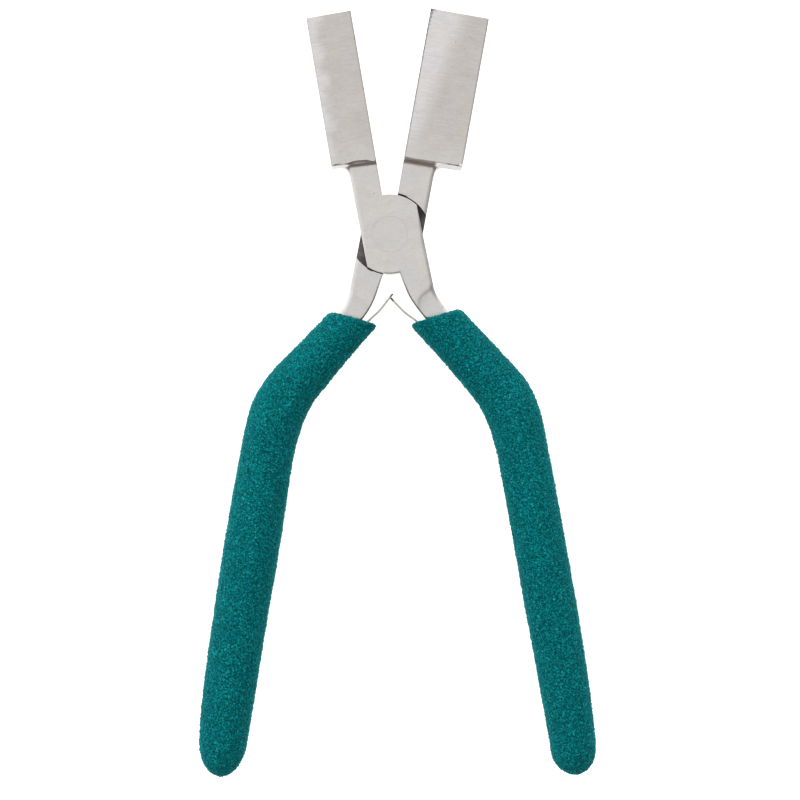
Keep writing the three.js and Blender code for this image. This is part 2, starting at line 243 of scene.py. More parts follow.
# The dark colour of the stains and of the painted shade.
STAIN_AND_SHADE_COLOUR = (0.05, 0.046, 0.042)
CREASE_WIDTH = 0.42
CREASE_FADE = 0.15  # how strong the crease's painted shade still is at its inner end
LAP_SHADE_TURN = 24  # degrees of the lap's arc beside the crotch that are painted dark as shade
GAP_SHADE_FULL = 9.14  # radii between which the painted shade along the recess's wall fades
GAP_SHADE_END = 9.34
END_SLOPE = 0.3  # how far the block's end face leans back from its foot
STEEL_SHARP = 24  # degrees between faces from which an edge is drawn sharp
NEVER_SHARP = 180
CLOUD_WANDER = 4.5  # how far the edge of the painted light on the jaw block wanders
# WALL faces take near-black steel, painted shade in the gap.
WHOLE_FACE, RECESSED, SIDE, WALL = range(4)  # material numbers of a half

# ---- The foam ----
GRIP_SIDES = 176
GRIP_STEP = 0.225
LIP = 1.25  # rounding of the foam's mouth
LIP_ROWS = 6
MOUTH_ROWS = 14  # across the mouth's flat face
CAP_ROWS = 45
CELL = 0.54
GRAIN_SPREAD = 1.3
GRAIN_HEIGHT = 0.38
GRAIN_SEED = 3  # noise_vector draws its offsets from this
MOUTH_LEAD = 0.35  # makes up for what the grain takes off the mouth
MOUTH_FADE = 14  # the mouth's tilt fades out this far along the grip
HUG = 0.08  # between the foam's bore and the tang
POCKET = 2.3  # room in the bore for the leaf's seat and its screw
PROFILE_END = 110
PROFILE_SAMPLES = 1200
PROFILE_SMOOTHING = 61  # samples that are averaged


# ---- Points and lines ----
def unit(vectors):
    return vectors / np.maximum(np.linalg.norm(vectors, axis=-1, keepdims=True), 1e-9)


def towards(a, b, distance):
    """The point at a distance from a on the way to b."""
    return a + unit(b - a) * distance


def on_circle(radius, turns):
    """Points of a circle round the pivot, at angles in radians."""
    return np.column_stack([np.cos(turns), np.sin(turns)]) * radius


def circle(radius, count=HOLE_SIDES):
    return on_circle(radius, 2 * math.pi * np.arange(count) / count)


def line(a, b, step=1.0):
    """Points from a towards b, without b."""
    a, b = np.array(a, float), np.array(b, float)
    count = max(1, math.ceil(np.linalg.norm(b - a) / step))
    return [a + (b - a) * k / count for k in range(count)]


def arc(radius, start, end, step=0.4):
    """Points of an arc round the pivot, from angle start towards angle end, without the last."""
    count = max(1, math.ceil(abs(end - start) * radius / step))
    return list(on_circle(radius, start + (end - start) * np.arange(count) / count))


def curve(a, b, c, count=12):
    """A quadratic curve from a to c that is drawn towards b, without c."""
    a, b, c = (np.array(p, float) for p in (a, b, c))
    shares = np.arange(count) / count
    return [a * (1 - t) ** 2 + b * 2 * t * (1 - t) + c * t * t for t in shares]


def smoothstep(low, high, value):
    t = np.clip((value - low) / (high - low), 0, 1)
    return t * t * (3 - 2 * t)


def to_row(half, points):
    """Points of a half's own frame, in millimetres, as metres in the row frame."""
    points = np.asarray(points, float)
    turn = math.radians(half["lean"])
    x, y = points[:, 0] * half["mirror"], points[:, 1]
    across = x * math.cos(turn) - y * math.sin(turn)
    along = x * math.sin(turn) + y * math.cos(turn)
    return np.column_stack([across, along, points[:, 2]]) * MM + PIVOT


def measured(points):
    """The points of a line, with their tangents and distances from its start."""
    points = np.array(points)
    runs = np.diff(points, axis=0)
    tangents = unit(np.vstack([runs[:1], runs[1:] + runs[:-1], runs[-1:]]))
    return points, tangents, np.concatenate([[0], np.cumsum(np.linalg.norm(runs, axis=1))])


# ---- The line that a handle follows ----
def handle_path(half, start):
    """The handle's line from its start to its end, round its bend, as measured() gives it."""
    start, corner, end = (np.array(p, float) for p in (start, half["bend"], half["end"]))
    into, out = towards(corner, start, HANDLE_BEND), towards(corner, end, HANDLE_BEND)
    bend = curve(into, corner, out, 40)
    return measured([*line(start, into, 0.5), *bend, *line(out, end, 0.5), end])


def beside(path, along, off):
    """Points that lie `along` the path and `off` to its +X side; it runs straight beyond its ends."""
    points, tangents, distances = path
    along = np.asarray(along, float)
    inside = np.clip(along, 0, distances[-1])
    point = np.stack([np.interp(inside, distances, points[:, k]) for k in (0, 1)], axis=-1)
    tangent = np.stack([np.interp(inside, distances, tangents[:, k]) for k in (0, 1)], axis=-1)
    tangent = unit(tangent)
    side = np.stack([-tangent[..., 1], tangent[..., 0]], axis=-1)
    return point + tangent * (along - inside)[..., None] + side * np.asarray(off)[..., None]


def tang_width(share):
    """The tang's width at a share of its length."""
    return TANG_WIDTH + (TANG_END_WIDTH - TANG_WIDTH) * share


def tang_edge(half, side):
    """One side of the tang, from its start to its end."""
    path = handle_path(half, half["tang_start"])
    length = path[2][-1] - TANG_STOP
    along = np.concatenate([np.arange(0, 12, 0.8), np.arange(12, 36, 1.2), np.linspace(36, length, 12)])
    return list(beside(path, along, side * tang_width(along / length) / 2))


# ---- Flat outlines into solids ----
def inside(loop, points):
    """Which of the points lie inside the closed loop."""
    x, y = points[:, 0, None], points[:, 1, None]
    x0, y0 = loop[:, 0], loop[:, 1]
    x1, y1 = np.roll(x0, -1), np.roll(y0, -1)
    crosses = (y0 > y) != (y1 > y)
    rise = np.where(y1 == y0, 1e-9, y1 - y0)
    return (crosses & (x < (x1 - x0) * (y - y0) / rise + x0)).sum(axis=1) % 2 == 1


def nearest(loop, values, points):
    """Distance from each point to the loop, and the loop's value at the nearest place."""
    ends, next_values = np.roll(loop, -1, axis=0), np.roll(values, -1)
    runs = ends - loop
    squares = np.maximum((runs * runs).sum(axis=1), 1e-12)
    distance, value = np.empty(len(points)), np.empty(len(points))
    for first in range(0, len(points), 2000):
        some = points[first : first + 2000]
        from_start = some[:, None] - loop
        share = np.clip((from_start * runs).sum(axis=2) / squares, 0, 1)
        gap = np.linalg.norm(from_start - runs * share[..., None], axis=2)
        best = gap.argmin(axis=1)
        row = np.arange(len(some))
        distance[first : first + 2000] = gap[row, best]
        t = share[row, best]
        value[first : first + 2000] = values[best] * (1 - t) + next_values[best] * t
    return distance, value


def distance_to(loop, points):
    return nearest(loop, np.zeros(len(loop)), points)[0]


def insets(loop, radii):
    """Closed lines that follow the loop inside it, where its rounded edge needs rows of points."""
    ahead, behind = unit(np.roll(loop, -1, axis=0) - loop), unit(loop - np.roll(loop, 1, axis=0))
    middle = unit(ahead + behind)
    inward = np.column_stack([-middle[:, 1], middle[:, 0]])
    stretch = 1 / np.maximum(np.abs((middle * ahead).sum(axis=1)), 0.6)
    turns = math.pi / 2 * np.arange(1, EDGE_STEPS + 1) / EDGE_STEPS
    depths = [*(radii * (1 - math.cos(t)) for t in turns), np.maximum(radii, STAIN_AND_SHADE_REACH) + 0.05]
    rows = [loop + inward * (depth * stretch)[:, None] for depth in depths]
    return [np.vstack([row, row[:1]]) for row in rows]


def triangles(loop, holes, lines, extra):
    """Delaunay triangles inside the loop and outside the holes, with every loop and line as edges.

    Returns the points, the triangles, and where the loop's and the holes' own points went.
    """
    points, edges = [], []
    for ring in [loop, *holes]:
        first, count = len(points), len(ring)
        points += list(ring)
        edges += [(first + k, first + (k + 1) % count) for k in range(count)]
    rings = len(points)
    for run in lines:
        first = len(points)
        points += list(run)
        edges += [(first + k, first + k + 1) for k in range(len(run) - 1)]
    points += list(extra)
    out, _, faces, origin, _, _ = geometry.delaunay_2d_cdt(
        [Vector(p) for p in points], edges, [], 0, 1e-4
    )
    xy = np.array([tuple(p) for p in out])
    faces = np.array([tuple(f) for f in faces])
    middles = xy[faces].mean(axis=1)
    keep = inside(np.array(loop), middles)
    for hole in holes:
        keep &= ~inside(np.array(hole), middles)
    went = {}
    for place, sources in enumerate(origin):
        for source in sources:
            if source < rings:
                went[source] = place
    return xy, faces[keep], went


class Shell:
    """Corners and faces of a mesh while it is built; each face has a material number.

    flip is for a shell that is drawn upside down: it turns every face round.
    """

    def __init__(self, flip=False):
        self.corners, self.faces, self.materials = [], [], []
        self.known = {}
        self.flip = flip

    def corner(self, key, place):
        if key not in self.known:
            self.known[key] = len(self.corners)
            self.corners.append(tuple(place))
        return self.known[key]

    def face(self, corners, material=0):
        corners = corners[::-1] if self.flip else corners
        ring = [c for k, c in enumerate(corners) if c != corners[k - 1]]
        if len(set(ring)) > 2:
            self.faces.append(ring)
            self.materials.append(material)

    def join(self, rings):
        """Faces between rings of as many corners each."""
        for low, high in zip(rings, rings[1:]):
            for k in range(len(low)):
                after = (k + 1) % len(low)
                self.face([low[k], low[after], high[after], high[k]])


def finished(name, half, shell, materials, body, slot, replaced, sharp=35):
    """Makes the piece, with the own-frame place of each corner kept for its material."""
    own = np.array(shell.corners, float)
    faces = shell.faces if half["mirror"] > 0 else [f[::-1] for f in shell.faces]
    mesh = bpy.data.meshes.new(name)
    mesh.from_pydata([tuple(p) for p in to_row(half, own)], [], faces)
    for material in materials:
        mesh.materials.append(material)
    mesh.polygons.foreach_set("material_index", shell.materials)
    grain = mesh.attributes.new("own", "FLOAT_VECTOR", "POINT")
    grain.data.foreach_set("vector", own.ravel())
    mesh.validate()
    mesh.shade_smooth()
    mesh.set_sharp_from_angle(angle=math.radians(sharp))
    piece = bpy.data.objects.new(name, mesh)
    bpy.context.scene.collection.objects.link(piece)
    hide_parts(replaced)
    if body:
        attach(piece, body)
    return piece


# ---- Materials ----
def material(name):
    made = bpy.data.materials.new(name)
    made.use_nodes = True
    return made, made.node_tree, made.node_tree.nodes["Principled BSDF"]


def feed(tree, made, **settings):
    """Sets a node's properties, and its inputs to a value or to the output that feeds them."""
    for name, value in settings.items():
        if hasattr(made, name):
            setattr(made, name, value)
        elif isinstance(value, bpy.types.NodeSocket):
            tree.links.new(value, made.inputs[name.replace("_", " ")])
        else:
            made.inputs[name.replace("_", " ")].default_value = value
    return made


def node(tree, kind, **settings):
    return feed(tree, tree.nodes.new(kind), **settings)


def ramp(tree, source, stops):
    made = tree.nodes.new("ShaderNodeValToRGB")
    elements = made.color_ramp.elements
    while len(elements) < len(stops):
        elements.new(0.5)
    for element, (place, colour) in zip(elements, stops):
        element.position = place
        element.color = (*colour, 1) if len(colour) == 3 else colour
    tree.links.new(source, made.inputs["Fac"])
    return made.outputs["Color"]


def grey(value):
    return (value, value, value)


def mark(tree, name, kind="Fac"):
    """What the mesh's attribute of that name says."""
    return node(tree, "ShaderNodeAttribute", attribute_name=name).outputs[kind]


def own_place(tree, scale):
    """The own-frame place, in millimetres, stretched by scale."""
    place = mark(tree, "own", "Vector")
    return node(tree, "ShaderNodeMapping", Vector=place, Scale=scale).outputs["Vector"]


def own_part(tree, axis):
    """One axis of the own-frame place, in millimetres."""
    return node(tree, "ShaderNodeSeparateXYZ", Vector=mark(tree, "own", "Vector")).outputs[axis]


def noise_of(tree, vector, scale, detail, roughness=0.6):
    made = node(tree, "ShaderNodeTexNoise", Vector=vector, Scale=scale, Detail=detail)
    return feed(tree, made, Roughness=roughness).outputs["Fac"]


def from_to(tree, value, low, high, start=0, kind="SMOOTHSTEP"):
    """Goes from start, where the value is low, to 1, where it is high."""
    made = node(tree, "ShaderNodeMapRange", interpolation_type=kind, Value=value)
    return feed(tree, made, From_Min=low, From_Max=high, To_Min=start).outputs["Result"]


def multiply_add(tree, value, factor, added):
    made = node(tree, "ShaderNodeMath", operation="MULTIPLY_ADD")
    tree.links.new(value, made.inputs[0])
    made.inputs[1].default_value = factor
    tree.links.new(added, made.inputs[2])
    return made.outputs[0]


def bump_of(tree, height, strength, distance, **more):
    made = node(tree, "ShaderNodeBump", Height=height, Strength=strength, **more)
    return feed(tree, made, Distance=distance * MM).outputs["Normal"]


def mixed(tree, a, b, factor, kind="MIX"):
    made = tree.nodes.new("ShaderNodeMix")
    made.data_type = "RGBA"
    made.blend_type = kind
    for socket, value in ((made.inputs[6], a), (made.inputs[7], b), (made.inputs[0], factor)):
        if isinstance(value, (int, float, tuple)):
            socket.default_value = (*value, 1) if isinstance(value, tuple) else value
        else:
            tree.links.new(value, socket)
    return made.outputs[2]


def times(tree, colour, shade, share=1.0):
    """The colour multiplied by the shade, as far as share says."""
    return mixed(tree, colour, shade, share, "MULTIPLY")


def brushed_steel(name, light, dark, rough, half=None, stretch=(0.24, 3.4, 3.4)):
    """Satin-ground steel: fine grinding lines across the jaw, faint warm and cool clouds.

    A half's steel also has painted light and shade: lighter and cooler on one side of its jaw block,
    darker and warmer on the other, edges darkened by stains and painted shade, and a painted
    highlight along its tang's outer edge.
    """
    made, tree, shader = material(name)
    lines = noise_of(tree, own_place(tree, stretch), 1.0, 5, 0.7)
    clouds = noise_of(tree, own_place(tree, (0.7, 1, 1)), 0.3, 4)
    tint = noise_of(tree, own_place(tree, (1, 1, 1)), 0.2, 3, 0.6)
    mottle = noise_of(tree, own_place(tree, (1, 1, 1)), 1.9, 3, 0.75)
    base = ramp(tree, clouds, [(0.34, dark), (0.66, light)])
    base = times(tree, base, ramp(tree, tint, [(0.38, (0.99, 0.985, 1.0)), (0.64, (1.0, 0.978, 0.95))]))
    streaks = ramp(tree, lines, [(0.32, grey(0.87)), (0.62, grey(1.0))])
    base = times(tree, base, streaks, on_block(tree, half, 0.5))
    base = times(tree, base, ramp(tree, mottle, [(0.33, grey(0.93)), (0.6, grey(1.0))]))
    if half:
        # Painted light and shade across the jaw block.
        base = painted_block_light(tree, base, clouds, half)
        # Painted highlight: the tang's outer rounded edge is made up to 15% lighter, as if it caught
        # the light.
        base = times(tree, base, ramp(tree, mark(tree, "painted_highlight"), [(0, grey(1.0)), (1, grey(1.15))]))
        # Pits and stains, and the painted shade along edges, the crease, the foot and the recess's wall
        # gap, in one dark colour.
        base = mixed(tree, base, STAIN_AND_SHADE_COLOUR, mark(tree, "stain_and_shade"))
    uneven = ramp(tree, lines, [(0.2, grey(rough - 0.05)), (0.8, grey(rough + 0.08))])
    grooves = bump_of(tree, lines, 0.5, 0.016)
    normal = bump_of(tree, mottle, 0.5, 0.05, Normal=grooves)
    feed(tree, shader, Base_Color=base, Metallic=1, Roughness=uneven, Normal=normal)
    return made


def painted_block_light(tree, base, clouds, half):
    """Paints light and shade on the jaw block: one side lighter and cooler, the other darker and
    warmer.
    """
    wander = multiply_add(tree, clouds, CLOUD_WANDER, own_part(tree, "X"))
    slanted = multiply_add(tree, own_part(tree, "Y"), -half["painted_light_slant"], wander)
    light_side, dark_side = half["painted_light_to_shade"]
    at_tip = CLOUD_WANDER / 2 - half["painted_light_slant"] * (half["block_start"] + JAW_LENGTH)
    across = from_to(tree, slanted, light_side + at_tip, dark_side + at_tip)
    shade = ramp(tree, across, [(0, (1.14, 1.14, 1.165)), (1, (0.93, 0.905, 0.885))])
    return times(tree, base, shade, on_block(tree, half, 0))


def on_block(tree, half, elsewhere):
    """1 on the half's jaw block and less on the rest of it."""
    if not half:
        return elsewhere
    foot = half["block_start"]
    return from_to(tree, own_part(tree, "Y"), foot - 1, foot + 6, elsewhere, "LINEAR")


def foam_material():
    """Fine-grained foam, with painted shade between its grains and a painted highlight on the tallest
    of them.
    """
    made, tree, shader = material("teal_foam")
    place = own_place(tree, (1, 1, 1))
    fine = noise_of(tree, place, 3.0, 2, 0.6)
    patches = noise_of(tree, place, 0.14, 3)
    # Painted shade and highlight: colour follows grain height, dark in the pits and light on the
    # tallest grains.
    depths = [(0.0, (0.0, 0.058, 0.064)), (0.3, (0.0, 0.083, 0.089)), (0.8, (0.009, 0.138, 0.141))]
    base = ramp(tree, mark(tree, "grain"), depths)
    base = times(tree, base, ramp(tree, fine, [(0.4, grey(0.5)), (0.52, grey(1.0)), (0.66, grey(2.3))]))
    base = times(tree, base, ramp(tree, patches, [(0.3, grey(0.93)), (0.7, grey(1.04))]))
    feed(tree, shader, Base_Color=base, Roughness=0.85, Specular_IOR_Level=0.06)
    feed(tree, shader, Sheen_Weight=0.4, Sheen_Roughness=0.35, Sheen_Tint=(0.04, 0.8, 0.82, 1))
    feed(tree, shader, Normal=bump_of(tree, fine, 0.6, 0.08))
    return made


def floor_material():
    made, tree, shader = material("floor")
    feed(tree, shader, Base_Color=(0.4, 0.4, 0.4, 1), Roughness=0.9, Specular_IOR_Level=0.1)
    feed(tree, shader, Emission_Color=(1, 1, 1, 1), Emission_Strength=FLOOR_GLOW)
    return made


# Recess floor: darker steel, partly its machined, oily finish and partly painted shade of the recess.
RECESS_STEEL_AND_SHADE = brushed_steel("recess_steel_and_shade", (0.27, 0.25, 0.25), (0.1, 0.088, 0.09), 0.5)
# Near-black steel for the recess's wall: painted shade in the narrow gap round the other lap.
GAP_SHADE_STEEL = brushed_steel("painted_gap_shade", (0.05, 0.045, 0.045), (0.02, 0.018, 0.018), 0.6)
# A darker copy of the steel for the sides: painted shade, as the sides catch less light than the top.
SHADED_SIDE_STEEL = brushed_steel(
    "shaded_side_steel", (0.62, 0.61, 0.6), (0.56, 0.552, 0.543), 0.34, stretch=(0.3, 0.3, 3.4)
)
RIVET_STEEL = brushed_steel("rivet_steel", (0.78, 0.77, 0.755), (0.725, 0.715, 0.7), 0.3)
SPRING_STEEL = brushed_steel("spring_steel", (0.62, 0.59, 0.54), (0.5, 0.48, 0.44), 0.36)
# Darker steel for the leaves' hooked ends: painted shade where they are recessed and pass through each
# other.
SHADED_SPRING_TIP = brushed_steel("spring_tip_shade", (0.16, 0.15, 0.15), (0.1, 0.095, 0.09), 0.4)
FOAM = foam_material()


# ---- Steel halves ----
def steel_outline(half):
    """The half's outline, anticlockwise, with edge radii, how dark it is painted (stains and painted
    shade; a painted highlight below 0), and where the recess cuts it.
    """
    off, foot = JAW_FACE_OFFSET, half["block_start"]
    inner_foot, inner_tip = (off, foot), (off, foot + JAW_LENGTH)
    outer_foot, outer_tip = (off + half["block"], foot), (off + half["block"], foot + JAW_LENGTH)
    neck_top, neck_low = half["neck"]
    crotch = np.array(half["crotch"])
    crotch *= LAP_RADIUS / np.linalg.norm(crotch)
    elbow = np.array(half["inner_elbow"])
    lead = crotch + (elbow - crotch) * 0.6
    shoulder = np.array(half["shoulder"])
    outer, inner = tang_edge(half, -1), tang_edge(half, 1)[::-1]
    lap_start = math.acos(off / LAP_RADIUS)
    lap_back = math.acos(-half["back_edge"] / LAP_RADIUS)
    lap_crotch = math.atan2(crotch[1], crotch[0])
    lap_neck = -math.acos(neck_low / LAP_RADIUS)
    lap_low = lap_crotch + math.radians(LAP_SHADE_TURN)
    back_corner, neck_corner = on_circle(LAP_RADIUS, [lap_back, lap_neck])
    fillet_start = (neck_top, foot - NECK_FILLET)
    fillet_end = (neck_top + NECK_FILLET, foot)
    inner_edge_dark, outer_edge_dark = half["block_edge_dark"]
    lap_edge, block_edge, clean = (LAP_EDGE, LAP_EDGE), (BLOCK_EDGE, BLOCK_EDGE), (0, 0)
    # Each run of points, with its edge's radius and how dark it is painted at both of its ends, by
    # stains and painted shade; a painted highlight is below 0.
    sections = [
        # The block's inner and outer edges are painted darker.
        (line(inner_tip, inner_foot, 0.5), half["inner_edge"], (inner_edge_dark, inner_edge_dark * 0.55)),
        (line(inner_foot, (off, LAP_RADIUS), 0.8), (half["inner_edge"][1], INNER_EDGE), (0.2, 0.1)),
        (arc(LAP_RADIUS, lap_start, lap_back), lap_edge, clean),
        (line(back_corner, shoulder, 0.8), (LAP_EDGE, OUTER_EDGE * 2), clean),
        (curve(shoulder, half["outer_elbow"], outer[0]), (OUTER_EDGE, TANG_OUTER_EDGE), (-0.3, -1)),
        (outer, (TANG_OUTER_EDGE, TANG_OUTER_EDGE), (-1, -1)),
        # From the tang's inner edge round the elbow to the crotch and the lap's arc beside it, the
        # steel is painted dark: painted shade between the two halves.
        (inner, (TANG_INNER_EDGE, TANG_INNER_EDGE), (1.7, 1.7)),
        (curve(inner[-1], elbow, lead), (TANG_INNER_EDGE, INNER_EDGE), (1.7, 1.1)),
        (line(lead, crotch, 0.5), (INNER_EDGE, INNER_EDGE), (1.1, 0.3)),
        (arc(LAP_RADIUS, lap_crotch, lap_low), lap_edge, (0.75, 0.6)),
        (arc(LAP_RADIUS, lap_low, lap_neck), lap_edge, clean),
        (line(neck_corner, fillet_start, 0.8), (LAP_EDGE, OUTER_EDGE * 2), clean),
        # Along the fillet and the block's foot the steel is painted dark: painted shade under the step.
        (curve(fillet_start, (neck_top, foot), fillet_end), (OUTER_EDGE, 0.3), (0, 0.4)),
        (line(fillet_end, outer_foot, 1), (0.3, BLOCK_EDGE), half["foot_shade"]),
        (line(outer_foot, outer_tip, 0.5), block_edge, (outer_edge_dark, outer_edge_dark)),
        (line(outer_tip, inner_tip, 2), block_edge, clean),
    ]
    points, radii, stains_shade_and_highlight = [], [], []
    for run, edge, stain_and_shade in sections:
        points += run
        radii += list(np.minimum(np.linspace(*edge, len(run)), max(OUTER_EDGE, edge[0])))
        stains_shade_and_highlight += list(np.linspace(*stain_and_shade, len(run)))
    stains_shade_and_highlight = np.array(stains_shade_and_highlight)
    for k, (x, y) in enumerate(points):
        if half["ragged"] and x < off + 0.1 and y > foot:
            burr = 0.5 + noise.noise(Vector((y * 1.3, 4.2, 0)))
            radii[k] *= 0.5 + burr
            stains_shade_and_highlight[k] *= 0.55 + 0.8 * burr
    return with_crossings(np.array(points), np.column_stack([radii, stains_shade_and_highlight]))


def with_crossings(points, radii):
    """Adds the places where the outline crosses the recess's wall, and says which they are."""
    reach = np.linalg.norm(points, axis=1)
    out, out_radii, crossings = [], [], []
    for k, point in enumerate(points):
        after = (k + 1) % len(points)
        out.append(point)
        out_radii.append(radii[k])
        if (reach[k] - RECESS_RADIUS) * (reach[after] - RECESS_RADIUS) < 0:
            run = points[after] - point
            a, b, c = run @ run, 2 * point @ run, point @ point - RECESS_RADIUS**2
            root = math.sqrt(b * b - 4 * a * c)
            share = next(t for t in ((-b - root) / (2 * a), (-b + root) / (2 * a)) if 0 <= t <= 1)
            crossings.append(len(out))
            out.append(point + run * share)
            out_radii.append((radii[k] + radii[after]) / 2)
    radii, stains_shade_and_highlight = np.array(out_radii).T
    return np.array(out), radii, stains_shade_and_highlight, crossings


def near_crease(half, xy):
    """Distance from the crease, and how strong it is at the nearest place of it."""
    edge = np.array(half["crease"])
    there_and_back = np.vstack([edge, edge[::-1] + 1e-6])
    fade = np.linspace(1, CREASE_FADE, len(edge))
    return nearest(there_and_back, np.concatenate([fade, fade[::-1]]), xy)


def past_crease(half, xy):
    """Distance from the crease, for the points on the tang's side of it; 0 for the others."""
    edge = np.array(half["crease"])
    area = np.vstack([[-60, edge[0, 1] + 2], edge, [edge[-1, 0], -150], [-60, -150]])
    return np.where(inside(area, xy), near_crease(half, xy)[0], 0)


def crease_points(half):
    """Rows of points along the crease, closer together next to it."""
    edge = np.array(half["crease"])
    runs = [line(a, b, 0.3) for a, b in zip(edge, edge[1:])]
    points = np.array([p for run in runs for p in run])
    tangents = unit(np.gradient(points, axis=0))
    outward = np.column_stack([tangents[:, 1], -tangents[:, 0]])
    offsets = (-0.6, -0.35, -0.15, 0, 0.12, 0.28, 0.5, 0.8, 1.2)
    return np.vstack([points + outward * off for off in offsets])


def foot_line(half, x):
    """Where the jaw block's foot is at each x: it lies lower beside the inner face."""
    inner, outer = half["foot_drop"]
    return half["block_start"] - inner + (inner - outer) * (x - JAW_FACE_OFFSET) / half["block"]


def worn_line(half, x):
    """Where the block's end face meets its upper face at each x."""
    return foot_line(half, x) + END_SLOPE - np.interp(x - JAW_FACE_OFFSET, *zip(*half["foot_wear"]))


def flat_height(half, xy):
    """Height of the steel above its middle plane, before its edges are rounded."""
    x, y = xy[:, 0], xy[:, 1]
    fillet, foot = half["step_fillet"], foot_line(half, x)
    thinned = 1 - np.exp(-past_crease(half, xy) / half["crease_length"])
    tail = np.clip((THIN_START_Y - y) / (THIN_START_Y - half["end"][1]), 0, 1)
    height = THICK + (TANG_THIN - THICK) * thinned + (TANG_END_THIN - TANG_THIN) * tail
    rise = np.clip(y - (foot - fillet), 0, fillet)
    height += fillet - np.sqrt(np.maximum(fillet**2 - rise**2, 0))
    worn = worn_line(half, x)
    full = half["block"] / 2
    share = np.clip((y - foot) / np.maximum(worn - foot, 0.02), 0, 1)
    climb = THICK + fillet + (full - BLOCK_EDGE - THICK - fillet) * share
    height = np.where(y > foot, climb, height)
    height = np.where(y > worn, full - np.maximum(BLOCK_EDGE - (y - worn), 0), height)
    beyond = (x > half["neck"][0] + NECK_FILLET) & (y > half["block_start"] - 0.01)
    height = np.where(beyond, full, height)
    corner = half["chipped_corner"]
    outwards = JAW_FACE_OFFSET + half["block"] - x + (y - foot)
    chip = np.where(y > foot - 0.01, np.maximum(corner - outwards, 0), 0)
    return height - chip


def foot_rows(half):
    """Lines across the neck where it rises to the jaw block."""
    first, last = JAW_FACE_OFFSET - 0.5, half["neck"][0] + NECK_FILLET + 0.5
    across = np.arange(first, last, 0.35)
    foot, fillet = foot_line(half, across), half["step_fillet"]
    worn = worn_line(half, across)
    rises = [foot - fillet * math.cos(math.pi / 2 * k / 6) for k in range(7)]
    return [np.column_stack([across, rise]) for rise in (*rises, worn, worn + BLOCK_EDGE)]


def rounded_height(half, outline, radii, xy):
    """Height with the rounded edges."""
    height = flat_height(half, xy)
    distance, radius = nearest(outline, radii, xy)
    into = np.clip(radius - distance, 0, radius)
    chamfer = CHAMFER * smoothstep(0.3, 0.6, radius)
    bend = np.maximum(radius, 0.01) / np.sin(EDGE_TURN - chamfer)
    return height - np.tan(chamfer) * into - (bend - np.sqrt(bend**2 - into**2))


def recess_arcs(outline, crossings):
    """The recess's wall inside the outline, between the places where it crosses it."""
    angles = {k: math.atan2(outline[k][1], outline[k][0]) % (2 * math.pi) for k in crossings}
    order = sorted(angles, key=angles.get)
    runs = []
    for k, here in enumerate(order):
        after = order[(k + 1) % len(order)]
        start, end = angles[here], angles[after]
        end += 2 * math.pi if end <= start else 0
        steps = max(2, math.ceil((end - start) * RECESS_RADIUS / 0.4))
        turns = np.linspace(start, end, steps + 1)[1:-1]
        run = on_circle(RECESS_RADIUS, turns)
        if inside(outline, run[[len(run) // 2]])[0]:
            runs.append(np.array([outline[here], *run, outline[after]]))
    return runs


def elbow_grid(half):
    """Points where the shank's faces are curved."""
    x, y = np.meshgrid(np.arange(-12, 3, 0.45), np.arange(-25, -10, 0.45))
    return np.vstack([np.column_stack([x.ravel(), y.ravel()]), crease_points(half)])


def spot_points(half):
    """Points in and round the half's dark spots."""
    ring = circle(1, 8)
    rows = []
    for x, y, size, _ in half["spots"]:
        rows += [[(x, y)], ring * 0.5 * size + (x, y), ring * size + (x, y)]
    return np.vstack(rows)


def clear_of_edges(outline, points, hole, gap=0.06):
    """The points that are inside the outline and not too near to it or to the hole."""
    points = points[inside(outline, points)]
    reach = np.linalg.norm(points, axis=1)
    return points[(distance_to(outline, points) > gap) & (reach > hole + gap)]


def gap_shade_rows(half):
    """Points on each side of the strip of painted shade along the recess's wall."""
    rows = [(0, 0)]
    for first, last in half["wall_gap_shade"]:
        for turn in np.radians(np.arange(first, last, 1.5)):
            rows += [on_circle(reach, [turn])[0] for reach in (GAP_SHADE_FULL, GAP_SHADE_END)]
    return np.array(rows)


def spots_and_shade(half, xy):
    """How dark the half's spots are at each point, with the painted shade along the recess's wall and
    along the crease.
    """
    dark = np.zeros(len(xy))
    reach = np.hypot(xy[:, 0], xy[:, 1])
    degrees = np.degrees(np.arctan2(xy[:, 1], xy[:, 0]))
    for first, last in half["wall_gap_shade"]:
        along = smoothstep(first, first + 5, degrees) * (1 - smoothstep(last - 5, last, degrees))
        strip = (reach > RECESS_RADIUS - 0.01) * (1 - smoothstep(GAP_SHADE_FULL, GAP_SHADE_END, reach))
        dark = np.maximum(dark, strip * along)
    distance, shade = near_crease(half, xy)
    shade *= half["crease_shade"] * np.exp(-((distance / CREASE_WIDTH) ** 2))
    dark = np.maximum(dark, shade)
    for x, y, size, strength in half["spots"]:
        distance = np.hypot(xy[:, 0] - x, xy[:, 1] - y)
        dark = np.maximum(dark, strength * (1 - smoothstep(0.4 * size, size, distance)))
    return dark


